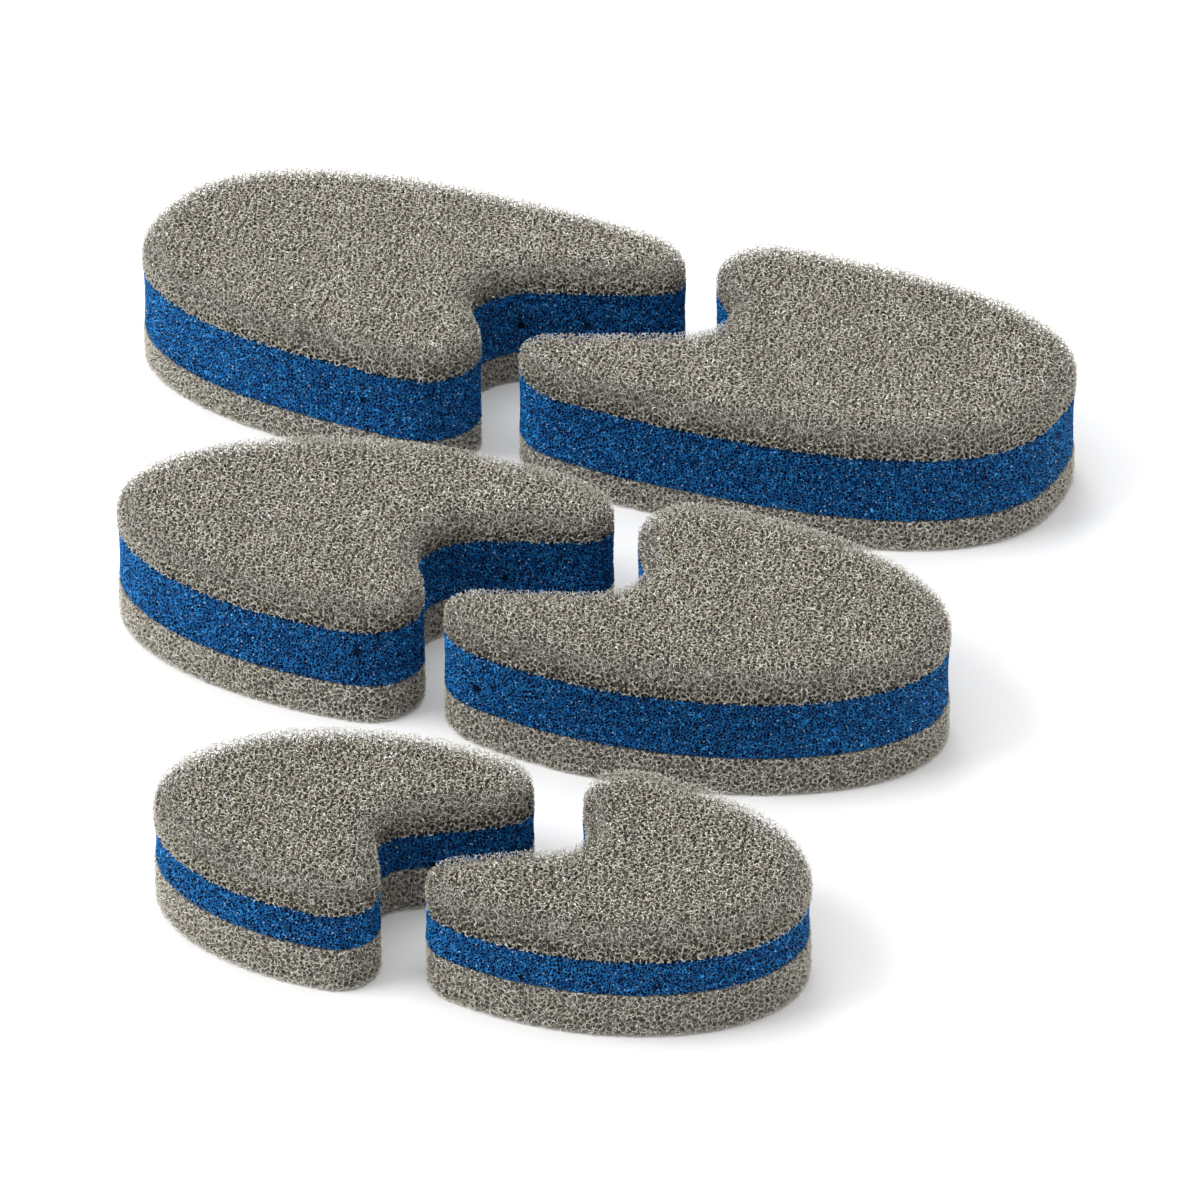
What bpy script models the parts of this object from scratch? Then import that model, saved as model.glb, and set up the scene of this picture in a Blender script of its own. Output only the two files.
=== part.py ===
"""A set of six filter sponges for a pond or aquarium filter.

Three pairs of foam blocks lie side by side: a large pair, a medium pair and a small pair.
The two halves of a pair have the same outline, and the right half is turned by half a turn.
Each half is an oval with a notch cut out of one corner, which leaves an arm beside the notch.
Pushed together, the halves close round a slot for the filter's pump or lamp.
Every half is a laminate: a thick fine sponge between two coarse ones.
Units are metres, +Z is up, and the origin is the centre of the footprint of the whole set.
"""

import math

import bpy
from mathutils import Matrix, Vector

MM = 0.001

# Outlines, in a half's own frame. The oval is a superellipse, round at an exponent of 2.
# The notch's root is on the oval's Y axis at root_y, and the arm's inner corner is at arm_corner.
# edge_deg is the direction of the arm's tip edge and of the lobe's edge, which face each other.
PAIRS = {
    "large": {
        "half_length": 129.0 * MM,
        "half_width": 69.7 * MM,
        "exponent": 2.5,
        "arm_corner": (89.2 * MM, 40.4 * MM),
        "root_y": 2.8 * MM,
        "edge_deg": 129.9,
        "radii": {"arm_outer": 26.9 * MM, "arm_inner": 11.8 * MM, "root": 23.1 * MM, "lobe": 23.0 * MM},
        "centre": (1.0 * MM, 145.2 * MM),
        "turn_deg": -25.1,
        "half_offset": (64.1 * MM, 5.2 * MM),
        "right_twist_deg": 2.8,
        "layers": (13.2 * MM, 26.6 * MM, 12.1 * MM),
    },
    "medium": {
        "half_length": 111.9 * MM,
        "half_width": 64.2 * MM,
        "exponent": 2.0,
        "arm_corner": (80.4 * MM, 28.2 * MM),
        "root_y": 5.9 * MM,
        "edge_deg": 118.8,
        "radii": {"arm_outer": 25.0 * MM, "arm_inner": 12.5 * MM, "root": 23.1 * MM, "lobe": 21.5 * MM},
        "centre": (-26.3 * MM, -49.5 * MM),
        "turn_deg": -17.3,
        "half_offset": (54.0 * MM, -6.0 * MM),
        "right_twist_deg": -1.4,
        "layers": (15.7 * MM, 23.2 * MM, 11.6 * MM),
    },
    "small": {
        "half_length": 83.6 * MM,
        "half_width": 56.5 * MM,
        "exponent": 2.0,
        "arm_corner": (53.9 * MM, 26.6 * MM),
        "root_y": -2.8 * MM,
        "edge_deg": 113.9,
        "radii": {"arm_outer": 18.2 * MM, "arm_inner": 13.8 * MM, "root": 12.5 * MM, "lobe": 16.4 * MM},
        "centre": (-43.1 * MM, -232.3 * MM),
        "turn_deg": -17.4,
        "half_offset": (40.1 * MM, 0.0 * MM),
        "right_twist_deg": -1.5,
        "layers": (17.3 * MM, 13.8 * MM, 13.1 * MM),
    },
}

LAYER_NAMES = ("bottom_layer", "middle_layer", "top_layer")
LAYER_GAP = 0.3 * MM

OVAL_STEPS = 36
ARC_STEPS = 6
SEARCH_STEPS = 60
HALVINGS = 30

COARSE_GREY = (0.235, 0.224, 0.182)
FINE_BLUE = (0.010, 0.050, 0.160)
FOAM_ROUGHNESS = 0.9


def unit(angle):
    return Vector((math.cos(angle), math.sin(angle)))


def inward(direction):
    """The normal to the left of an edge, which is the foam's side."""
    return Vector((-direction.y, direction.x))


def signed_power(value, power):
    return math.copysign(abs(value) ** power, value)


def oval_point(angle, pair):
    power = 2.0 / pair["exponent"]
    return Vector((
        pair["half_length"] * signed_power(math.cos(angle), power),
        pair["half_width"] * signed_power(math.sin(angle), power),
    ))


def oval_normal(angle, pair):
    """The oval's outward unit normal at the same angle."""
    power = 2.0 - 2.0 / pair["exponent"]
    return Vector((
        signed_power(math.cos(angle), power) / pair["half_length"],
        signed_power(math.sin(angle), power) / pair["half_width"],
    )).normalized()


def fillet_angle(pair, corner, edge, radius, first, last):
    """Where on the oval a fillet of this radius, tangent to the straight edge, touches it."""

    def miss(angle):
        centre = oval_point(angle, pair) - radius * oval_normal(angle, pair)
        return (centre - corner).dot(inward(edge)) - radius

    step = (last - first) / SEARCH_STEPS
    low = first
    while miss(low) * miss(low + step) > 0.0:
        low += step
    high = low + step
    for _ in range(HALVINGS):
        middle = 0.5 * (low + high)
        if miss(low) * miss(middle) > 0.0:
            low = middle
        else:
            high = middle
    return 0.5 * (low + high)


def arc(centre, radius, first, last):
    return [centre + radius * unit(first + (last - first) * i / ARC_STEPS) for i in range(ARC_STEPS + 1)]


def rounded_corner(point, arriving, leaving, radius):
    """The arc that replaces the corner between two straight edges."""
    turn = math.atan2(arriving.cross(leaving), arriving.dot(leaving))
    start = point - arriving * radius * math.tan(abs(turn) / 2.0)
    to_centre = math.copysign(radius, turn) * inward(arriving)
    first = math.atan2(-to_centre.y, -to_centre.x)
    return arc(start + to_centre, radius, first, first + turn)


def half_outline(pair):
    """The outline of one half, anticlockwise from the tip of its arm."""
    edge = unit(math.radians(pair["edge_deg"]))
    arm_corner = Vector(pair["arm_corner"])
    root = Vector((0.0, pair["root_y"]))
    radii = pair["radii"]
    right_way = -inward(edge)
    edge_facing = math.atan2(right_way.y, right_way.x)

    arm_end = fillet_angle(
        pair, arm_corner, edge, radii["arm_outer"], math.radians(5.0), math.radians(130.0))
    lobe_end = fillet_angle(
        pair, root, edge, radii["lobe"], math.radians(355.0), math.radians(200.0))
    arm_normal = oval_normal(arm_end, pair)
    lobe_normal = oval_normal(lobe_end, pair)
    arm_centre = oval_point(arm_end, pair) - radii["arm_outer"] * arm_normal
    lobe_centre = oval_point(lobe_end, pair) - radii["lobe"] * lobe_normal

    points = []
    for i in range(1, OVAL_STEPS):
        points.append(oval_point(arm_end + (lobe_end - arm_end) * i / OVAL_STEPS, pair))
    lobe_facing = math.atan2(lobe_normal.y, lobe_normal.x)
    points += arc(lobe_centre, radii["lobe"], lobe_facing, edge_facing)
    along = (arm_corner - root).normalized()
    points += rounded_corner(root, edge, along, radii["root"])
    points += rounded_corner(arm_corner, along, edge, radii["arm_inner"])
    points += arc(arm_centre, radii["arm_outer"], edge_facing, math.atan2(arm_normal.y, arm_normal.x))
    return points


def half_places(pair):
    """The location and turn of the left and the right half on the surface that they lie on."""
    turn = math.radians(pair["turn_deg"])
    offset = Matrix.Rotation(turn, 2) @ Vector(pair["half_offset"])
    centre = Vector(pair["centre"])
    right_turn = turn + math.pi + math.radians(pair["right_twist_deg"])
    return {"left": (centre - offset, turn), "right": (centre + offset, right_turn)}


def footprint_centre():
    """The middle of the box round all six halves, which becomes the origin."""
    corners = []
    for pair in PAIRS.values():
        for place, turn in half_places(pair).values():
            corners += [place + Matrix.Rotation(turn, 2) @ p for p in half_outline(pair)]
    xs = [p.x for p in corners]
    ys = [p.y for p in corners]
    return Vector((0.5 * (min(xs) + max(xs)), 0.5 * (min(ys) + max(ys))))


def foam_material(name, colour):
    material = bpy.data.materials.new(name)
    material.use_nodes = True
    material.diffuse_color = (*colour, 1.0)
    shader = material.node_tree.nodes["Principled BSDF"]
    shader.inputs["Base Color"].default_value = (*colour, 1.0)
    shader.inputs["Roughness"].default_value = FOAM_ROUGHNESS
    shader.inputs["Metallic"].default_value = 0.0
    return material


def foam_layer(name, outline, thickness, colour, collection):
    """A flat slab of foam with the half's outline, centred on its own thickness."""
    curve = bpy.data.curves.new(name, "CURVE")
    curve.dimensions = "2D"
    curve.fill_mode = "BOTH"
    curve.extrude = 0.5 * thickness
    spline = curve.splines.new("POLY")
    spline.points.add(len(outline) - 1)
    for point, corner in zip(spline.points, outline):
        point.co = (corner.x, corner.y, 0.0, 1.0)
    spline.use_cyclic_u = True
    layer = bpy.data.objects.new(name, curve)
    curve.materials.append(foam_material(name + "_foam", colour))
    collection.objects.link(layer)
    return layer


def sponge_half(name, outline, pair, place, turn, collection):
    """Three layers on an empty that stands at the oval's centre, on the surface below."""
    stand = bpy.data.objects.new(name, None)
    stand.location = (place.x, place.y, 0.0)
    stand.rotation_euler = (0.0, 0.0, turn)
    collection.objects.link(stand)
    floor = 0.0
    for layer_name, depth in zip(LAYER_NAMES, pair["layers"]):
        colour = FINE_BLUE if layer_name == "middle_layer" else COARSE_GREY
        thickness = depth - (LAYER_GAP if floor > 0.0 else 0.0)
        layer = foam_layer(f"{name}_{layer_name}", outline, thickness, colour, collection)
        layer.parent = stand
        layer.location = (0.0, 0.0, floor + depth - 0.5 * thickness)
        floor += depth


def main():
    for old in list(bpy.data.objects):
        bpy.data.objects.remove(old)
    collection = bpy.data.collections.new("sponge_filter_set")
    bpy.context.scene.collection.children.link(collection)
    origin = footprint_centre()
    for size, pair in PAIRS.items():
        outline = half_outline(pair)
        for side, (place, turn) in half_places(pair).items():
            sponge_half(f"{size}_{side}", outline, pair, place - origin, turn, collection)


main()
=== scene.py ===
import itertools
import math

import bpy
import numpy as np
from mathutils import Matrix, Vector
from mathutils.geometry import delaunay_2d_cdt


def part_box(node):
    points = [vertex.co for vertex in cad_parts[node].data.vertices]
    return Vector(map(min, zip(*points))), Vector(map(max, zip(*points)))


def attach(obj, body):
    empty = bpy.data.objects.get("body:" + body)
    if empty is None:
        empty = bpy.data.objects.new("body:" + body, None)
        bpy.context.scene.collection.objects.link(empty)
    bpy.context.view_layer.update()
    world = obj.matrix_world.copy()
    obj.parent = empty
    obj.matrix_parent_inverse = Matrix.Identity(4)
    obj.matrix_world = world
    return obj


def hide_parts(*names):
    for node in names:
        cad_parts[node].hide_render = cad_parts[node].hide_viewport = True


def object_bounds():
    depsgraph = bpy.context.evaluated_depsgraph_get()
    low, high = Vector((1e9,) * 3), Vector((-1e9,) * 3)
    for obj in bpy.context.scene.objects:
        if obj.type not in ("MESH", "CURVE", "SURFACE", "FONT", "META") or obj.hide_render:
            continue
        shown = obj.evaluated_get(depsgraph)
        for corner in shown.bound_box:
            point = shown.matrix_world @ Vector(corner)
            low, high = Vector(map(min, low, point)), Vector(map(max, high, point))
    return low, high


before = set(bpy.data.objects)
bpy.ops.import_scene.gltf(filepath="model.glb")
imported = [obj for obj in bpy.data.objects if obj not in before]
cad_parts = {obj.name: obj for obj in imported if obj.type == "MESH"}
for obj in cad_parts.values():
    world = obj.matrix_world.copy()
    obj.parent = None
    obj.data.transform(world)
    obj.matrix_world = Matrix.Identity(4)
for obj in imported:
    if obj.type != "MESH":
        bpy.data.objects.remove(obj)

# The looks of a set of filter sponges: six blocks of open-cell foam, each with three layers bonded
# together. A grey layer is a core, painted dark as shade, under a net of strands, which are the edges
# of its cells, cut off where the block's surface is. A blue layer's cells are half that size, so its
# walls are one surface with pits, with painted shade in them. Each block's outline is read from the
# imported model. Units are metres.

MM = 0.001
CAD_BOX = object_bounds()

SIZES = ("large", "medium", "small")
# Each side, and the way that its half faces the other half: 1 is towards +X.
SIDES = (("left", 1.0), ("right", -1.0))

# Outlines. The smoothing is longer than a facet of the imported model.
OUTLINE_SMOOTHING = 4.0 * MM
CHART_STEP = 0.8 * MM
CHART_MARGIN = 9.0 * MM
SMALLEST_SLOPE = 1e-9
LEVEL_SLACK = 0.05 * MM
EDGE_ROUND = 3.6 * MM
FOOT_ROUND = 1.2 * MM

# Caps are filled over a grid, whose outermost points stay a share of a step away from the loop.
HIDDEN_STEP = 4.0 * MM
GRID_MARGIN = 0.6
CAP_SLACK = 0.02 * MM
MERGE_DISTANCE = 1e-7

# Coarse grey foam: two cells to a cube of space, shaken out of line. A tile of cubes is repeated.
COARSE_CUBE = 2.5 * MM
TILE = 8
SHAKE = 0.27
LATTICE_UP = (0.52, -0.37, 1.0)
# Slow waves bend the foam. They swing to and fro, so they don't repeat either.
WARP = 0.6 * MM
WARP_LENGTH = 23.0 * MM
SWING = 1.7
SWING_RATE = 0.6
# Each cell is compared with this many of its neighbours. Distances in a tile are in cubes.
NEIGHBOURS = 24
FARTHEST_CORNER = 1.0
FLATTEST_CORNER = 1e-5
ROUNDING = 1e-6
# Cubes are looked for at this spacing, which misses none.
SEARCH_STEP = 0.45 * COARSE_CUBE

# The strands. GIRTH_SPREAD is a share of the radius, and a shiny strand, whose near-white colour is a
# painted glint, is made wider. One that is steeper than STEEP gets its blades from the X axis.
SHORTEST_STRAND = 0.36 * MM
SHORTEST_STUB = 0.15 * MM
STRAND_RADIUS = 0.245 * MM
GIRTH_SPREAD = 0.5
GLINT_SHARE = 0.05
GLINT_GIRTH = 1.5
MOST_STRANDS = 48000
STEEP = 0.8
# A strand is cut off somewhere from FRAY_OUT outside the surface to FRAY further in.
FRAY_OUT = 0.30 * MM
FRAY = 0.45 * MM
# At the slot, strands end further in, so that two halves pushed together don't cut each other. The
# trim fades out between one and two reaches from the wall.
SLOT_TRIM = 0.65 * MM
SLOT_REACH = 2.0 * MM
# A strand is alone when the core is further behind it than at a flat face, and wholly so after
# ALONE_REACH. Light comes through there, so lone strands are finer and a share of them is left out.
# Deeper than LIT_DEPTH, a share of all strands is left out.
ALONE_REACH = 1.5 * MM
RIM_FINENESS = 0.58
LIT_DEPTH = 1.6 * MM
SKIN_LOST = 0.35
DEEP_LOST = 0.76

# The core. A top layer's falls away over CORE_REACH from its side, down to CORE_FOOT.
CORE_DEPTH = 1.5 * MM
CORE_REACH = 16.0 * MM
CORE_FOOT = 1.0 * MM
CORE_STEP = 1.5 * MM
CORE_ROUGHNESS = 0.4 * MM
FLAT_SLACK = 0.2 * MM

# Tones are painted light and shade: from 0, painted shade deep in a pore, up to painted light on the
# surface, with painted bounce light on a bottom layer and painted light through lone strands and at a
# top core's rim. The materials turn them into colours.
SHADING_RANGE = 1.8
SKIN_PAINTED_LIGHT = 0.85
TOP_SKIN_PAINTED_LIGHT = 0.9
# A bottom layer's painted bounce light from the white floor.
FOOT_BOUNCE_LIGHT = 0.26
# Painted light on lone strands, where light comes through the net.
ALONE_PAINTED_LIGHT = 0.22
# Painted light on a top layer's core near its rim, fading lower down.
CORE_RIM_PAINTED_LIGHT = 0.4
CORE_LIT_HEIGHT = 9.0 * MM
# Strands near an upper rim get painted light. That fades with the distance from the side and from the
# roof.
RIM_PAINTED_LIGHT = 0.30
RIM_LIGHT_REACH = 9.0 * MM
RIM_LIGHT_DEPTH = 3.0 * MM
RIM_LIGHT_START = 1.6

# Fine blue foam. PORE_EDGE is where a pore's side begins and ends, in cells from the strand. A wall
# draws in by PINCH at half its height, and a void is at its deepest within VOID_CORE of its radius.
FINE_CELL = 1.25 * MM
PORE_EDGE = (0.015, 0.14)
FINE_STEP = 0.42 * MM
FINE_INSET = 0.35 * MM
PIT_DEPTH = 0.8 * MM
PINCH = 0.35 * MM
VOID_SPACING = 16.0 * MM
VOID_RADIUS = 2.1 * MM
VOID_CORE = 0.6
VOID_DEPTH = 1.6 * MM
# Painted glints on the blue are spots about this far apart.
BLUE_GLINT_SPACING = 2.4 * MM

# Colours. A ramp's stops are a place from 0 to 1 and the colour there.
WHITE = (1.0, 1.0, 1.0)
BLACK = (0.0, 0.0, 0.0)
# The strands' colours: the darkest stop is painted shade, the lightest ones painted light.
STRAND_COLOURS = (
    (0.17, (0.052, 0.045, 0.039)),
    (0.42, (0.285, 0.258, 0.205)),
    (0.66, (0.68, 0.636, 0.510)),
    (0.90, (0.95, 0.91, 0.82)),
)
# The near-white colours of the painted glints on shiny strands.
GLINT_COLOURS = ((0.3, (0.78, 0.77, 0.72)), (0.7, (0.97, 0.97, 0.95)))
# The core's colours: the dark stop is painted shade deep in the foam, the lighter ones painted light.
CORE_COLOURS = (
    (0.00, (0.013, 0.011, 0.010)),
    (0.25, (0.13, 0.118, 0.105)),
    (0.55, (0.55, 0.52, 0.48)),
)
# A painted net of deeper strands, with painted shade in the pores between them.
CORE_NET_CELL = 2.0 * MM
CORE_NET = ((0.02, WHITE), (0.13, BLACK))
# The blue's own colour on its strands, darkening to painted shade in the pores.
BLUE_COLOURS = (
    (0.16, (0.060, 0.450, 0.980)),
    (0.24, (0.018, 0.200, 0.620)),
    (0.38, (0.004, 0.076, 0.280)),
    (0.72, (0.0003, 0.004, 0.020)),
)
# The colour of the blue's painted glints.
BLUE_PAINTED_GLINT = (0.66, 0.80, 0.96)
# Painted shade in the blue's big voids.
BLUE_VOID_SHADE = (0.001, 0.004, 0.012)
# Where a painted glint spot is white, fading out to none.
BLUE_GLINT_SPOTS = ((0.07, WHITE), (0.15, BLACK))

# Random draws: each use has its own salt. The first two are added to a layer's salt.
DRAW_STEP = 0.01 * MM
FRAY_SALT = 5
LOST_SALT = 6
GIRTH_SALT = 7
TURN_SALT = 8
GLINT_SALT = 9
CORE_SALT = 20
FIRST_SALT = 100
SALT_STEP = 10
HASH_SEED = 0x9E3779B97F4A7C15
HASH_STRIDE = 0x632BE5AB
HASH_ROUNDS = ((0xBF58476D1CE4E5B9, 29), (0x94D049BB133111EB, 32))

# The room. The floor is just under the blocks, and larger than the picture.
FLOOR_REACH = 12.0
FLOOR_GAP = 0.2 * MM
FLOOR_WHITE = 0.95
WORLD_STRENGTH = 0.51
# Each lamp's name, place, width and power. All of them aim at the middle.
LAMPS = (
    ("left_key", (-2.5, -0.4, 2.4), 2.0, 82.0),
    ("overhead", (0.1, 0.2, 2.6), 2.6, 35.0),
    ("back", (-0.4, 3.2, 1.2), 1.6, 65.0),
)
CAMERA_AIM = (-0.0008, 0.0235, 0.0)
CAMERA_ELEVATION = math.radians(31.0)
CAMERA_DISTANCE = 3.752
CAMERA_LENS = 292.7
CAMERA_SENSOR = 36.0
CAMERA_END = 50.0


def hashed(cells, salt):
    """A number from 0 to 1 for each row of whole numbers, the same on every run."""
    mixed = np.full(cells.shape[0], HASH_SEED + salt * HASH_STRIDE, np.uint64)
    for column in range(cells.shape[1]):
        mixed ^= cells[:, column].astype(np.int64).view(np.uint64)
        for factor, shift in HASH_ROUNDS:
            mixed *= np.uint64(factor)
            mixed ^= mixed >> np.uint64(shift)
    # The upper 53 bits are as many as a float holds.
    return (mixed >> np.uint64(11)).astype(np.float64) / float(1 << 53)


def draw_rows(points):
    """Whole numbers that stand for points, to draw random numbers with."""
    return np.round(points / DRAW_STEP).astype(np.int64)


# ---------------------------------------------------------------- outlines

def upper_edges(mesh):
    """The directed edges of a CAD layer's upper face that no other triangle of that face shares."""
    points = np.array([v.co for v in mesh.vertices], float)
    top = points[:, 2].max()
    keys = [tuple(p) for p in np.round(points, 6)]
    edges = set()
    for face in mesh.polygons:
        if min(points[i, 2] for i in face.vertices) >= top - LEVEL_SLACK:
            ring = [keys[i] for i in face.vertices]
            edges.update(zip(ring, ring[1:] + ring[:1]))
    return [(first, last) for first, last in edges if (last, first) not in edges]


def node_outline(node):
    """The anticlockwise outline of a CAD layer, from the edges round its upper face."""
    following = dict(upper_edges(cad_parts[node].data))
    start = min(following)
    loop = [start]
    while following[loop[-1]] != start:
        loop.append(following[loop[-1]])
    loop = np.array(loop)[:, :2]
    after = np.roll(loop, -1, axis=0)
    area = np.sum(loop[:, 0] * after[:, 1] - after[:, 0] * loop[:, 1])
    return loop if area > 0.0 else loop[::-1]


def resampled(loop, step):
    """The loop with even spacing and its facets smoothed out, and its outward normals."""
    closed = np.vstack([loop, loop[:1]])
    along = np.concatenate([[0.0], np.cumsum(np.linalg.norm(np.diff(closed, axis=0), axis=1))])
    count = int(round(along[-1] / step))
    at = np.linspace(0.0, along[-1], count, endpoint=False)
    even = np.stack([np.interp(at, along, closed[:, k]) for k in range(2)], axis=1)
    reach = max(1, int(round(0.5 * OUTLINE_SMOOTHING / step)))
    shifts = range(-reach, reach + 1)
    smooth = sum(np.roll(even, shift, axis=0) for shift in shifts) / len(shifts)
    tangent = np.roll(smooth, -1, axis=0) - np.roll(smooth, 1, axis=0)
    normal = np.stack([tangent[:, 1], -tangent[:, 0]], axis=1)
    return smooth, normal / np.linalg.norm(normal, axis=1, keepdims=True)


def depth_inside(points, loop):
    """How far each point is inside the outline. It is negative outside."""
    nearest = np.full(len(points), np.inf)
    inside = np.zeros(len(points), bool)
    for first, last in zip(loop, np.roll(loop, -1, axis=0)):
        edge = last - first
        away = points - first
        share = np.clip(away @ edge / (edge @ edge), 0.0, 1.0)
        gap = away - share[:, None] * edge
        nearest = np.minimum(nearest, np.einsum("ij,ij->i", gap, gap))
        spans = (first[1] > points[:, 1]) != (last[1] > points[:, 1])
        if edge[1] != 0.0:
            crossing = first[0] + (points[:, 1] - first[1]) * edge[0] / edge[1]
            inside ^= spans & (points[:, 0] < crossing)
    return np.where(inside, 1.0, -1.0) * np.sqrt(nearest)


def depth_chart(loop):
    """The depth inside an outline, charted on a grid so that it can be looked up fast."""
    low = loop.min(axis=0) - CHART_MARGIN
    size = np.ceil((loop.max(axis=0) + CHART_MARGIN - low) / CHART_STEP).astype(int) + 1
    across, along = np.meshgrid(np.arange(size[0]), np.arange(size[1]), indexing="ij")
    points = low + CHART_STEP * np.stack([across.ravel(), along.ravel()], axis=1)
    return low, depth_inside(points, loop).reshape(size)


def charted_depth(points, chart):
    """The depth of each point, between the four nearest points of the chart."""
    low, depths = chart
    place = np.clip((points[:, :2] - low) / CHART_STEP, 0.0, np.array(depths.shape) - 1.001)
    cell = place.astype(int)
    u, v = (place - cell).T
    i, j = cell.T
    near = depths[i, j] * (1.0 - u) + depths[i + 1, j] * u
    far = depths[i, j + 1] * (1.0 - u) + depths[i + 1, j + 1] * u
    return near * (1.0 - v) + far * v


def outward(points, chart):
    """The direction away from the inside, square to the outline."""
    slopes = []
    for step in ([CHART_STEP, 0.0], [0.0, CHART_STEP]):
        slopes.append(charted_depth(points + step, chart) - charted_depth(points - step, chart))
    slope = np.stack(slopes, axis=1)
    return -slope / np.maximum(np.linalg.norm(slope, axis=1, keepdims=True), SMALLEST_SLOPE)


# ---------------------------------------------------------------- the foam's cells

def tipped_axes(up):
    """The lattice's own axes, tipped so that none of its planes lies along a level face of the foam."""
    up = np.array(up) / np.linalg.norm(up)
    side = np.cross(up, [0.0, 0.0, 1.0])
    side /= np.linalg.norm(side)
    return np.stack([side, np.cross(up, side), up])


TIP = tipped_axes(LATTICE_UP)


def foam_seeds():
    """The centres of the cells in a repeating tile of foam: two to a cube, each shaken out of place."""
    axes = [np.arange(TILE)] * 3
    cubes = np.stack(np.meshgrid(*axes, indexing="ij"), axis=-1).reshape(-1, 3)
    seeds = np.concatenate([cubes + 0.25, cubes + 0.75])
    rows = np.round(4.0 * seeds).astype(np.int64)
    shake = np.stack([hashed(rows, k) for k in range(3)], axis=1) - 0.5
    return seeds + 2.0 * SHAKE * shake


def squared(vectors):
    """The squared length of each vector in a table of vectors."""
    return np.einsum("ijk,ijk->ij", vectors, vectors)


def cell_corners(seeds):
    """The points where four cells meet, from the centres of the cells.

    A corner is as far from one centre as from the other three, and no other centre is nearer. The
    first cell of the four is given by its number, and the others by their places among its
    neighbours, which are given too.
    """
    apart = seeds[None] - seeds[:, None]
    apart -= TILE * np.round(apart / TILE)
    neighbours = np.argsort(squared(apart), axis=1)[:, 1:NEIGHBOURS + 1]
    near = np.take_along_axis(apart, neighbours[..., None], axis=1)
    trios = np.array(list(itertools.combinations(range(NEIGHBOURS), 3)))
    a, b, c = (near[:, trios[:, k]] for k in range(3))
    volume = np.einsum("ijk,ijk->ij", a, np.cross(b, c))
    sound = np.abs(volume) > FLATTEST_CORNER
    corner = squared(a)[..., None] * np.cross(b, c)
    corner += squared(b)[..., None] * np.cross(c, a)
    corner += squared(c)[..., None] * np.cross(a, b)
    corner /= 2.0 * np.where(sound, volume, 1.0)[..., None]
    owner, trio = np.nonzero(sound & (squared(corner) < FARTHEST_CORNER))
    corner = corner[owner, trio]
    further = squared(near)[owner] - 2.0 * np.einsum("mkj,mj->mk", near[owner], corner)
    empty = np.all(further > -ROUNDING, axis=1)
    return neighbours, owner[empty], trios[trio[empty]], corner[empty]


def cell_edges(seeds):
    """The two ends of each edge between the cells. An edge is where three cells meet."""
    neighbours, owner, places, corner = cell_corners(seeds)
    holder = np.tile(owner, 3)
    low = places[:, [0, 0, 1]].T.ravel()
    high = places[:, [1, 2, 2]].T.ravel()
    point = np.tile(seeds[owner] + corner, (3, 1))
    # All three cells of an edge find it, and only the one with the lowest number keeps it.
    once = (holder < neighbours[holder, low]) & (holder < neighbours[holder, high])
    key = ((holder * NEIGHBOURS + low) * NEIGHBOURS + high)[once]
    point = point[once]
    sequence = np.argsort(key, kind="stable")
    key, point = key[sequence], point[sequence]
    match = np.nonzero(key[1:] == key[:-1])[0]
    return point[match], point[match + 1]


def foam_tile():
    """The edges of a tile, as offsets from the cube that each is in, sorted by cube.

    It also gives where each cube's edges start among them, and how many there are.
    """
    first, last = cell_edges(foam_seeds())
    long_enough = np.linalg.norm(last - first, axis=1) * COARSE_CUBE > SHORTEST_STRAND
    first, last = first[long_enough], last[long_enough]
    cube = np.floor(0.5 * (first + last)).astype(np.int64)
    home = np.ravel_multi_index((cube % TILE).T, (TILE,) * 3)
    sequence = np.argsort(home, kind="stable")
    counts = np.bincount(home, minlength=TILE ** 3)
    starts = np.concatenate([[0], np.cumsum(counts)[:-1]])
    return (first - cube)[sequence], (last - cube)[sequence], starts, counts


FOAM_TILE = foam_tile()


def warped(place, salt):
    """The foam bent by slow waves, so that its tiles don't line up."""
    wave = 2.0 * math.pi / WARP_LENGTH
    swing = SWING * np.sin(SWING_RATE * wave * place[:, [2, 0, 1]] + salt)
    return place + WARP * np.sin(wave * place[:, [1, 2, 0]] + swing)


# ---------------------------------------------------------------- the shape of a grey layer

class Layer:
    """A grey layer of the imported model: its name, outline and heights, and the way to the slot."""

    def __init__(self, cad, loop, chart, facing):
        low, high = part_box(cad)
        self.cad = cad
        self.floor = low.z
        self.roof = high.z
        self.is_top = cad.endswith("top_layer")
        self.loop = loop
        self.chart = chart
        self.facing = facing


def rounded_depth(side, end, radius):
    """The depth inside a body whose side and end meet in a rounded edge."""
    straight = np.minimum(side, end)
    corner = radius - np.hypot(np.maximum(radius - side, 0.0), np.maximum(radius - end, 0.0))
    return np.where(straight < radius, corner, straight)


def core_drop(layer):
    """How far a top layer's core falls away towards its rim, which leaves the net deep there."""
    return layer.roof - layer.floor - CORE_DEPTH - CORE_FOOT


def layer_depth(points, layer):
    """How far points are inside a layer, whose outer edge is rounded, and how far inside its core."""
    side = charted_depth(points, layer.chart)
    if not layer.is_top:
        end = points[:, 2] - layer.floor
        shell = rounded_depth(side, end, FOOT_ROUND)
        return shell, rounded_depth(side - CORE_DEPTH, end, FOOT_ROUND)
    end = layer.roof - points[:, 2]
    shell = rounded_depth(side, end, EDGE_ROUND)
    drop = core_drop(layer)
    core_side = (side - CORE_DEPTH) * drop / CORE_REACH
    return shell, rounded_depth(core_side, end - CORE_DEPTH, drop)


def aloneness(core):
    """From 0 for a strand on the core to 1 for one that has no core close behind it."""
    return np.clip((-core - CORE_DEPTH) / ALONE_REACH, 0.0, 1.0)


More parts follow.
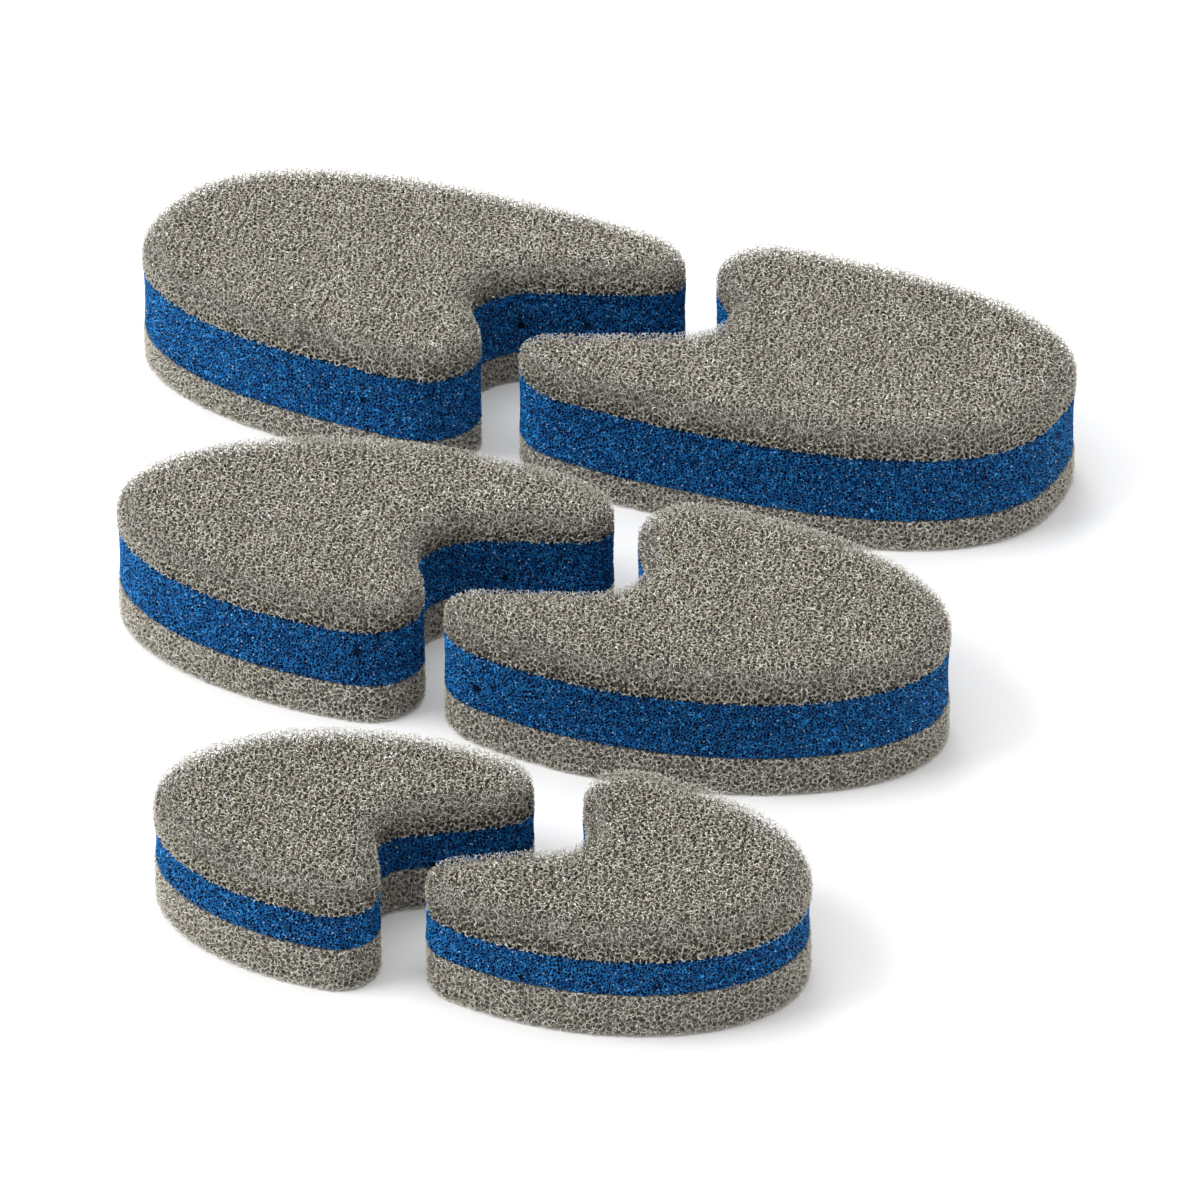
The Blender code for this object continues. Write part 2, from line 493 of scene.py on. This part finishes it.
def core_painted_shading(points, layer):
    """Painted light and shade of the inside: painted shade deeper in, painted light at a top layer's
    rim, less so low down, and painted bounce light on a bottom layer.
    """
    shell, _ = layer_depth(points, layer)
    painted_shading = SKIN_PAINTED_LIGHT * np.clip(1.0 - shell / LIT_DEPTH, 0.0, 1.0)
    if not layer.is_top:
        return painted_shading + FOOT_BOUNCE_LIGHT
    rim = np.clip(1.0 - charted_depth(points, layer.chart) / CORE_REACH, 0.0, 1.0)
    height = np.clip((points[:, 2] - layer.floor) / CORE_LIT_HEIGHT, 0.0, 1.0)
    return painted_shading + CORE_RIM_PAINTED_LIGHT * rim * height


def strand_painted_shading(points, layer):
    """Painted light and shade of the strands: painted shade deep in the net, painted light on the
    surface, at an upper rim and on lone strands, and painted bounce light on a bottom layer.
    """
    shell, core = layer_depth(points, layer)
    painted_shading = np.clip(1.0 - shell / LIT_DEPTH, 0.0, 1.0)
    if not layer.is_top:
        return SKIN_PAINTED_LIGHT * painted_shading + FOOT_BOUNCE_LIGHT
    rim = np.clip(1.0 - charted_depth(points, layer.chart) / RIM_LIGHT_REACH, 0.0, 1.0)
    rim *= np.clip(RIM_LIGHT_START - (layer.roof - points[:, 2]) / RIM_LIGHT_DEPTH, 0.0, 1.0)
    return TOP_SKIN_PAINTED_LIGHT * painted_shading + RIM_PAINTED_LIGHT * rim + ALONE_PAINTED_LIGHT * aloneness(core)


# ---------------------------------------------------------------- the net of strands

def unique_rows(rows):
    """The different rows among rows of three whole numbers, in order."""
    low = rows.min(axis=0)
    size = rows.max(axis=0) - low + 1
    keys = np.unique(np.ravel_multi_index((rows - low).T, size))
    return np.stack(np.unravel_index(keys, size), axis=1) + low


def strands_in(layer, salt):
    """The two ends of every strand of the foam in and near a layer's net."""
    low, depths = layer.chart
    high = low + CHART_STEP * np.array(depths.shape)
    bottom = layer.floor - COARSE_CUBE - WARP
    top = layer.roof + COARSE_CUBE + WARP
    spans = [np.arange(low[k], high[k], SEARCH_STEP) for k in range(2)]
    spans.append(np.arange(bottom, top, SEARCH_STEP))
    samples = np.array(np.meshgrid(*spans, indexing="ij")).reshape(3, -1).T
    cubes = unique_rows(np.floor(samples @ TIP / COARSE_CUBE).astype(np.int64))
    middles = warped((cubes + 0.5) * COARSE_CUBE @ TIP.T, salt)
    shell, core = layer_depth(middles, layer)
    cubes = cubes[(shell > -COARSE_CUBE) & (core < COARSE_CUBE)]

    first, last, starts, counts = FOAM_TILE
    home = np.ravel_multi_index(((cubes + salt) % TILE).T, (TILE,) * 3)
    count = counts[home]
    held = np.repeat(np.arange(len(cubes)), count)
    edge = np.repeat(starts[home] - np.cumsum(count) + count, count) + np.arange(count.sum())
    ends = [(cubes[held] + each[edge]) * COARSE_CUBE @ TIP.T for each in (first, last)]
    return warped(ends[0], salt), warped(ends[1], salt)


def clipped(first, last, over_first, over_last):
    """The strands whose ends aren't both below zero height, cut off where their height is zero."""
    kept = (over_first > 0.0) | (over_last > 0.0)
    first, last = first[kept], last[kept]
    over_first, over_last = over_first[kept], over_last[kept]
    share = over_first / np.where(over_first == over_last, 1.0, over_first - over_last)
    meet = first + share[:, None] * (last - first)
    first = np.where((over_first < 0.0)[:, None], meet, first)
    last = np.where((over_last < 0.0)[:, None], meet, last)
    return first, last


def slot_trim(points, layer):
    """How much further in a strand ends near a wall that faces the other half."""
    facing = layer.facing * outward(points[:, :2], layer.chart)[:, 0]
    near_wall = 2.0 - charted_depth(points, layer.chart) / SLOT_REACH
    return SLOT_TRIM * (np.clip(facing, 0.0, 1.0) * np.clip(near_wall, 0.0, 1.0))


def cut_strands(layer, salt):
    """The strands between a layer's outer surface and its core, cut off where they meet the surface."""
    first, last = strands_in(layer, salt)
    first, last = clipped(first, last, first[:, 2] - layer.floor, last[:, 2] - layer.floor)
    first, last = clipped(first, last, layer.roof - first[:, 2], layer.roof - last[:, 2])
    shell_first, core_first = layer_depth(first, layer)
    shell_last, core_last = layer_depth(last, layer)
    middle = 0.5 * (first + last)
    rows = draw_rows(middle)

    alone = aloneness(np.maximum(core_first, core_last))
    in_skin = np.minimum(shell_first, shell_last) < LIT_DEPTH
    lost = np.where(in_skin, SKIN_LOST * alone, DEEP_LOST)
    kept = hashed(rows, salt + LOST_SALT) > lost
    kept &= np.minimum(core_first, core_last) < 0.0

    fray = FRAY_OUT - FRAY * hashed(rows, salt + FRAY_SALT) - slot_trim(middle, layer)
    over_first, over_last = shell_first + fray, shell_last + fray
    first, last = clipped(first[kept], last[kept], over_first[kept], over_last[kept])
    long_enough = np.linalg.norm(last - first, axis=1) > SHORTEST_STUB
    return first[long_enough], last[long_enough]


def strand_girths(first, last, layer):
    """The half-width of each strand. Lone strands are finer, and light comes through them."""
    _, core = layer_depth(0.5 * (first + last), layer)
    spread = 1.0 - 0.5 * GIRTH_SPREAD + GIRTH_SPREAD * hashed(draw_rows(first), GIRTH_SALT)
    return STRAND_RADIUS * spread * (1.0 - RIM_FINENESS * aloneness(core))


def set_painted_shading(mesh, painted_shading_values):
    """The mesh's points get their painted light and shade, for its material to read."""
    painted_shading = mesh.attributes.new("painted_shading", "FLOAT", "POINT")
    painted_shading.data.foreach_set("value", painted_shading_values.astype(np.float32))


def mesh_from(name, points, triangles=None, quads=None):
    """A mesh made straight from arrays."""
    mesh = bpy.data.meshes.new(name)
    parts = ((triangles, 3), (quads, 4))
    parts = [(array, width) for array, width in parts if array is not None]
    sizes = np.concatenate([np.full(len(array), width) for array, width in parts])
    corners = np.concatenate([array.ravel() for array, _ in parts])
    mesh.vertices.add(len(points))
    mesh.vertices.foreach_set("co", points.astype(np.float32).ravel())
    mesh.loops.add(len(corners))
    mesh.loops.foreach_set("vertex_index", corners.astype(np.int32))
    mesh.polygons.add(len(sizes))
    starts = np.concatenate([[0], np.cumsum(sizes)[:-1]])
    mesh.polygons.foreach_set("loop_start", starts.astype(np.int32))
    mesh.update(calc_edges=True)
    return mesh


def strand_mesh(name, first, last, girths, shiny, layer):
    """A closed four-sided sliver for each strand. Its two ends are blades set crosswise."""
    along = last - first
    along /= np.linalg.norm(along, axis=1, keepdims=True)
    spare = np.where(np.abs(along[:, 2:3]) < STEEP, [[0.0, 0.0, 1.0]], [[1.0, 0.0, 0.0]])
    across = np.cross(along, spare)
    across /= np.linalg.norm(across, axis=1, keepdims=True)
    upright = np.cross(along, across)
    girth = (girths * np.where(shiny, GLINT_GIRTH, 1.0))[:, None]
    turn = 2.0 * math.pi * hashed(draw_rows(first), TURN_SALT)[:, None]
    blade = girth * (np.cos(turn) * across + np.sin(turn) * upright)
    cross = girth * (np.cos(turn) * upright - np.sin(turn) * across)
    corners = [first - blade, first + blade, last - cross, last + cross]
    base = 4 * np.arange(len(first))[:, None]
    sides = ([0, 2, 1], [0, 1, 3], [0, 3, 2], [1, 2, 3])
    points = np.stack(corners, axis=1).reshape(-1, 3)
    mesh = mesh_from(name, points, np.concatenate([base + side for side in sides]))
    painted_shading_values = np.stack([strand_painted_shading(first, layer), strand_painted_shading(last, layer)], axis=1)
    set_painted_shading(mesh, np.repeat(painted_shading_values, 2, axis=1).ravel())
    mesh.materials.append(STRANDS)
    mesh.materials.append(GLINTS)
    mesh.polygons.foreach_set("material_index", np.tile(shiny, len(sides)).astype(np.int32))
    return mesh


# ---------------------------------------------------------------- solid surfaces

def filled_cap(loop, inset, chart, step):
    """Triangles that fill a loop, over a grid of equilateral triangles, and the new points."""
    low, high = loop.min(axis=0), loop.max(axis=0)
    rows = np.arange(low[1], high[1], step * math.sqrt(0.75))
    grid = []
    for number, y in enumerate(rows):
        xs = np.arange(low[0] + 0.5 * step * (number % 2), high[0], step)
        grid.append(np.stack([xs, np.full(len(xs), y)], axis=1))
    grid = np.concatenate(grid)
    grid = grid[charted_depth(grid, chart) > inset + GRID_MARGIN * step]
    count = len(loop)
    points = np.concatenate([loop, grid])
    ring = [(i, (i + 1) % count) for i in range(count)]
    made = delaunay_2d_cdt([tuple(p) for p in points], ring, [], 1, MERGE_DISTANCE, True)
    origin = np.array([found[0] if found else -1 for found in made[3]])
    triangles = origin[np.array([face for face in made[2] if len(face) == 3])]
    assert len(made[0]) == len(points) and origin.min() >= 0
    inside = charted_depth(points[triangles].mean(axis=1), chart) > inset - CAP_SLACK
    return points, triangles[inside]


def stacked_rings(rings, insets, chart, cap_steps):
    """A closed surface through rings of equal length, from foot to top, with both ends filled."""
    count = len(rings[0])
    points = np.concatenate(rings)
    base = np.arange(count)
    after = (base + 1) % count
    strip = np.stack([base, after, after + count, base + count], axis=1)
    quads = np.concatenate([strip + k * count for k in range(len(rings) - 1)])
    caps = []
    for number, step in ((0, cap_steps[0]), (len(rings) - 1, cap_steps[1])):
        flat, triangles = filled_cap(rings[number][:, :2], insets[number], chart, step)
        inner = flat[count:]
        from_ring = triangles + number * count
        from_inner = triangles - count + len(points)
        cap = np.where(triangles < count, from_ring, from_inner)
        caps.append(cap[:, ::-1] if number == 0 else cap)
        level = np.full(len(inner), rings[number][0, 2])
        points = np.concatenate([points, np.column_stack([inner, level])])
    return points, np.concatenate(caps), quads


def ring_at(line, normal, inset, height):
    """A level loop, set in from a line along its normals."""
    return np.column_stack([line - inset * normal, np.full(len(line), height)])


def core_rings(layer):
    """The loops that a core's wall goes through, and how far each is set in."""
    line, normal = resampled(layer.loop, CORE_STEP)
    if layer.is_top:
        profile = [(0.0, layer.floor), (0.0, layer.floor + CORE_FOOT)]
    else:
        count = max(2, int((layer.roof - layer.floor) / CORE_STEP) + 1)
        heights = np.linspace(layer.floor + FOOT_ROUND, layer.roof, count)
        profile = [(FOOT_ROUND, layer.floor)] + [(0.0, height) for height in heights]
    insets = [CORE_DEPTH + inset for inset, _ in profile]
    rings = [ring_at(line, normal, inset, height) for inset, (_, height) in zip(insets, profile)]
    return rings, insets


def core_mesh(name, layer):
    """The inside of a grey layer, painted dark as shade: the layer's own shape, set in by the depth of
    the strands.
    """
    rings, insets = core_rings(layer)
    steps = (HIDDEN_STEP, CORE_STEP) if layer.is_top else (CORE_STEP, HIDDEN_STEP)
    points, triangles, quads = stacked_rings(rings, insets, layer.chart, steps)
    if layer.is_top:
        depth = charted_depth(points, layer.chart) - CORE_DEPTH
        share = np.clip(depth / CORE_REACH, 0.0, 1.0)
        rise = core_drop(layer) * np.sqrt(1.0 - (1.0 - share) ** 2)
        points[:, 2] += np.where(points[:, 2] > layer.floor + 0.5 * CORE_FOOT, rise, 0.0)
    rows = draw_rows(points)
    shift = np.stack([hashed(rows, CORE_SALT + k) - 0.5 for k in range(3)], axis=1)
    shift = shift * 2.0 * CORE_ROUGHNESS
    # The face that is bonded to the next layer stays flat, and so does the one on the ground.
    height = points[:, 2]
    inner = (height > layer.floor + FLAT_SLACK) & (height < layer.roof - FLAT_SLACK)
    shift[~inner] = 0.0
    mesh = mesh_from(name, points + shift, triangles, quads)
    set_painted_shading(mesh, core_painted_shading(points, layer))
    mesh.materials.append(CORE)
    return mesh


# ---------------------------------------------------------------- nodes and materials

def node(tree, kind, **values):
    """A node with some of its settings, and of its inputs' values, where _ stands for a space."""
    made = tree.nodes.new(kind)
    for key, value in values.items():
        if hasattr(made, key):
            setattr(made, key, value)
        else:
            made.inputs[key.replace("_", " ")].default_value = value
    return made


def linked_place(tree):
    """The place in the piece's own coordinates, which are the part's at rest."""
    return tree.nodes.new("ShaderNodeTexCoord").outputs["Object"]


def cells_node(tree, place, spacing, feature):
    """A node that fills space with cells of about the given spacing."""
    cells = node(tree, "ShaderNodeTexVoronoi", Scale=1.0 / spacing, Randomness=1.0, feature=feature)
    tree.links.new(place, cells.inputs["Vector"])
    return cells.outputs["Distance"]


def smooth_step(tree, source, start, end):
    """Nodes that go smoothly from 0, where the source is at the start, to 1 at the end."""
    spread = node(tree, "ShaderNodeMapRange", clamp=True, interpolation_type="SMOOTHSTEP")
    spread.inputs["From Min"].default_value = start
    spread.inputs["From Max"].default_value = end
    tree.links.new(source, spread.inputs["Value"])
    return spread.outputs["Result"]


def pore_field(tree, place):
    """Nodes for how open the blue foam is at a point, from 0 on a strand to 1 in a pore.

    The shape of a wall and its colours are both made with this, so they agree. In the colours, the dark
    of a pore is painted shade.
    """
    walls = cells_node(tree, place, FINE_CELL, "DISTANCE_TO_EDGE")
    return smooth_step(tree, walls, *PORE_EDGE)


def void_field(tree, place):
    """Nodes that give 1 in the few big voids of the blue foam, and 0 elsewhere."""
    radius = VOID_RADIUS / VOID_SPACING
    centres = cells_node(tree, place, VOID_SPACING, "F1")
    return smooth_step(tree, centres, radius, VOID_CORE * VOID_RADIUS / VOID_SPACING)


def weighed(tree, source, weight, added=None):
    """Nodes for a source times a weight, and with another source added if there is one."""
    made = node(tree, "ShaderNodeMath", operation="MULTIPLY_ADD")
    made.inputs[1].default_value = weight
    made.inputs[2].default_value = 0.0
    tree.links.new(source, made.inputs[0])
    if added is not None:
        tree.links.new(added, made.inputs[2])
    return made.outputs["Value"]


def material(name, roughness, specular):
    """A new material, its nodes, and the socket that its colour goes to."""
    made = bpy.data.materials.new(name)
    made.use_nodes = True
    shader = made.node_tree.nodes["Principled BSDF"]
    shader.inputs["Roughness"].default_value = roughness
    shader.inputs["Specular IOR Level"].default_value = specular
    return made, made.node_tree, shader.inputs["Base Color"]


def tinted(tree, source, stops):
    """A colour ramp over a node's output, from (place, colour) stops."""
    made = tree.nodes.new("ShaderNodeValToRGB")
    elements = made.color_ramp.elements
    while len(elements) < len(stops):
        elements.new(0.5)
    for element, (place, colour) in zip(elements, stops):
        element.position = place
        element.color = (*colour, 1.0)
    tree.links.new(source, made.inputs["Fac"])
    return made.outputs["Color"]


def covered(tree, under, colour, share):
    """A plain colour laid over another where the share is 1."""
    made = node(tree, "ShaderNodeMix", data_type="RGBA")
    made.inputs["B"].default_value = (*colour, 1.0)
    tree.links.new(share, made.inputs["Factor"])
    tree.links.new(under, made.inputs["A"])
    return made.outputs["Result"]


def mottled(tree, **values):
    """Noise over the piece, with these values."""
    noise = node(tree, "ShaderNodeTexNoise", **values)
    tree.links.new(linked_place(tree), noise.inputs["Vector"])
    return noise.outputs["Fac"]


def painted_shading_with_noise(tree, noise, share):
    """The painted light and shade that the mesh carries, made uneven by some noise."""
    painted_shading = node(tree, "ShaderNodeAttribute", attribute_name="painted_shading").outputs["Fac"]
    return weighed(tree, weighed(tree, noise, share, added=painted_shading), 1.0 / SHADING_RANGE)


def strand_material():
    """Grey polyurethane strands with a soft shine, coloured from their painted light and shade, and
    uneven from strand to strand.
    """
    made, tree, colour = material("grey_foam_strands", roughness=0.3, specular=0.6)
    noise = mottled(tree, Scale=1100.0, Detail=1.0, Roughness=0.6)
    tree.links.new(tinted(tree, painted_shading_with_noise(tree, noise, share=0.9), STRAND_COLOURS), colour)
    return made


def glint_material():
    """A few strands with a real soft shine, whose near-white colour is a painted glint."""
    made, tree, colour = material("grey_foam_painted_glints", roughness=0.12, specular=1.0)
    tree.links.new(tinted(tree, mottled(tree, Scale=300.0), GLINT_COLOURS), colour)
    return made


def core_material():
    """The inside of the grey foam seen between its strands: a painted net of deeper strands over
    painted shade in the pores.
    """
    made, tree, colour = material("grey_foam_core", roughness=0.95, specular=0.1)
    cells = cells_node(tree, linked_place(tree), CORE_NET_CELL, "DISTANCE_TO_EDGE")
    net = tinted(tree, cells, CORE_NET)
    tree.links.new(tinted(tree, painted_shading_with_noise(tree, net, share=0.55), CORE_COLOURS), colour)
    return made


def fine_material():
    """Blue foam: painted shade in its pores and voids, its own bright blue on its strands, and a few
    painted glints.
    """
    made, tree, colour = material("blue_foam_wall", roughness=0.5, specular=0.06)
    place = linked_place(tree)
    noise = mottled(tree, Scale=420.0, Detail=2.0, Roughness=0.6)
    uneven = weighed(tree, noise, 0.4, added=pore_field(tree, place))
    painted_glints = tinted(tree, cells_node(tree, place, BLUE_GLINT_SPACING, "F1"), BLUE_GLINT_SPOTS)
    foam = covered(tree, tinted(tree, uneven, BLUE_COLOURS), BLUE_PAINTED_GLINT, painted_glints)
    tree.links.new(covered(tree, foam, BLUE_VOID_SHADE, void_field(tree, place)), colour)
    return made


STRANDS = strand_material()
GLINTS = glint_material()
CORE = core_material()
FINE = fine_material()


# ---------------------------------------------------------------- the blue wall

def pitting_nodes():
    """A node group that pushes the points of a wall in where its pores and voids are."""
    tree = bpy.data.node_groups.new("pitted_wall", "GeometryNodeTree")
    tree.interface.new_socket("Geometry", in_out="INPUT", socket_type="NodeSocketGeometry")
    tree.interface.new_socket("Geometry", in_out="OUTPUT", socket_type="NodeSocketGeometry")
    source = tree.nodes.new("NodeGroupInput")
    result = tree.nodes.new("NodeGroupOutput")
    place = tree.nodes.new("GeometryNodeInputPosition").outputs["Position"]
    away = node(tree, "GeometryNodeInputNamedAttribute", data_type="FLOAT_VECTOR", Name="away")
    voids = weighed(tree, void_field(tree, place), -VOID_DEPTH)
    depth = weighed(tree, pore_field(tree, place), -PIT_DEPTH, added=voids)
    offset = node(tree, "ShaderNodeVectorMath", operation="SCALE")
    moved = tree.nodes.new("GeometryNodeSetPosition")
    tree.links.new(away.outputs["Attribute"], offset.inputs[0])
    tree.links.new(depth, offset.inputs["Scale"])
    tree.links.new(source.outputs["Geometry"], moved.inputs["Geometry"])
    tree.links.new(offset.outputs["Vector"], moved.inputs["Offset"])
    tree.links.new(moved.outputs["Geometry"], result.inputs["Geometry"])
    return tree


def pitted(mesh, nodes):
    """The mesh with its points moved by the nodes, as a plain mesh again."""
    carrier = bpy.data.objects.new("carrier", mesh)
    bpy.context.scene.collection.objects.link(carrier)
    carrier.modifiers.new("pits", "NODES").node_group = nodes
    graph = bpy.context.evaluated_depsgraph_get()
    made = bpy.data.meshes.new_from_object(carrier.evaluated_get(graph), depsgraph=graph)
    bpy.data.objects.remove(carrier)
    made.attributes.remove(made.attributes["away"])
    return made


def fine_mesh(name, loop, chart, floor, roof, nodes):
    """A blue layer: walls pinched in a little, and pitted by the open pores."""
    line, normal = resampled(loop, FINE_STEP)
    rows = max(4, int(round((roof - floor) / FINE_STEP)))
    rings = []
    for share in np.linspace(0.0, 1.0, rows + 1):
        inset = FINE_INSET + PINCH * math.sin(math.pi * share)
        rings.append(ring_at(line, normal, inset, floor + share * (roof - floor)))
    insets = [FINE_INSET] * len(rings)
    points, triangles, quads = stacked_rings(rings, insets, chart, (HIDDEN_STEP, HIDDEN_STEP))
    away = np.zeros((len(points), 3), np.float32)
    away[:len(line) * len(rings), :2] = np.tile(normal, (len(rings), 1))
    mesh = mesh_from(f"{name}_smooth", points, triangles, quads)
    mesh.attributes.new("away", "FLOAT_VECTOR", "POINT").data.foreach_set("vector", away.ravel())
    made = pitted(mesh, nodes)
    made.name = name
    made.materials.append(FINE)
    return made


# ---------------------------------------------------------------- the blocks

def piece(mesh):
    """A visible piece for a mesh."""
    made = bpy.data.objects.new(mesh.name, mesh)
    bpy.context.scene.collection.objects.link(made)
    return made


def grey_layer(body, layer, salt):
    """A coarse layer: its core, and its strands in pieces of a handy size."""
    core = piece(core_mesh(f"{layer.cad}_core", layer))
    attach(core, body)
    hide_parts(layer.cad)
    first, last = cut_strands(layer, salt)
    girths = strand_girths(first, last, layer)
    shiny = hashed(draw_rows(last), GLINT_SALT) < GLINT_SHARE
    order = np.argsort(first[:, 0], kind="stable")
    pieces = math.ceil(len(order) / MOST_STRANDS)
    for number, part in enumerate(np.array_split(order, pieces)):
        name = f"{layer.cad}_strands_{number + 1}"
        net = strand_mesh(name, first[part], last[part], girths[part], shiny[part], layer)
        strands = piece(net)
        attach(strands, body)


def blue_layer(body, loop, chart, nodes):
    """A fine layer, which is one piece."""
    cad = f"{body}_middle_layer"
    low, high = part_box(cad)
    wall = piece(fine_mesh(f"{cad}_foam", loop, chart, low.z, high.z, nodes))
    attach(wall, body)
    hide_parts(cad)


def blocks():
    """All six blocks. Each grey layer has a salt of its own, so no two are alike."""
    pitting = pitting_nodes()
    salts = itertools.count(FIRST_SALT, SALT_STEP)
    for size in SIZES:
        for side, facing in SIDES:
            body = f"{size}_{side}"
            loop = node_outline(f"{body}_top_layer")
            chart = depth_chart(loop)
            for name in ("bottom_layer", "top_layer"):
                layer = Layer(f"{body}_{name}", loop, chart, facing)
                grey_layer(body, layer, next(salts))
            blue_layer(body, loop, chart, pitting)


# ---------------------------------------------------------------- floor, light and camera

def pale_floor():
    """A white floor, which isn't part of the object."""
    mesh = bpy.data.meshes.new("floor")
    corners = [(-1, -1), (1, -1), (1, 1), (-1, 1)]
    points = [(FLOOR_REACH * x, FLOOR_REACH * y, 0.0) for x, y in corners]
    mesh.from_pydata(points, [], [(0, 1, 2, 3)])
    made, _, colour = material("floor_white", roughness=0.9, specular=0.5)
    colour.default_value = (FLOOR_WHITE, FLOOR_WHITE, FLOOR_WHITE, 1.0)
    mesh.materials.append(made)
    floor = bpy.data.objects.new("floor", mesh)
    bpy.context.scene.collection.objects.link(floor)
    floor.location.z = CAD_BOX[0].z - FLOOR_GAP


def soft_light(name, place, size, power):
    """A square lamp aimed at the middle of the set."""
    lamp = bpy.data.lights.new(name, "AREA")
    lamp.shape = "SQUARE"
    lamp.size = size
    lamp.energy = power
    made = bpy.data.objects.new(name, lamp)
    made.location = place
    made.rotation_euler = (-Vector(place)).to_track_quat("-Z", "Y").to_euler()
    bpy.context.scene.collection.objects.link(made)


def studio():
    """A bright white room with three soft lamps."""
    world = bpy.data.worlds.new("studio")
    world.use_nodes = True
    background = world.node_tree.nodes["Background"]
    background.inputs["Color"].default_value = (1.0, 1.0, 1.0, 1.0)
    background.inputs["Strength"].default_value = WORLD_STRENGTH
    bpy.context.scene.world = world
    bpy.context.scene.view_settings.view_transform = "Standard"
    for lamp in LAMPS:
        soft_light(*lamp)


def camera():
    """The photo's camera, which looks down at the set from the front."""
    data = bpy.data.cameras.new("camera")
    data.sensor_width = CAMERA_SENSOR
    data.lens = CAMERA_LENS
    data.clip_end = CAMERA_END
    made = bpy.data.objects.new("camera", data)
    x, y, _ = CAMERA_AIM
    back = CAMERA_DISTANCE * math.cos(CAMERA_ELEVATION)
    up = CAMERA_DISTANCE * math.sin(CAMERA_ELEVATION)
    made.location = (x, y - back, up)
    made.rotation_euler = (0.5 * math.pi - CAMERA_ELEVATION, 0.0, 0.0)
    bpy.context.scene.collection.objects.link(made)
    bpy.context.scene.camera = made


blocks()
pale_floor()
studio()
camera()
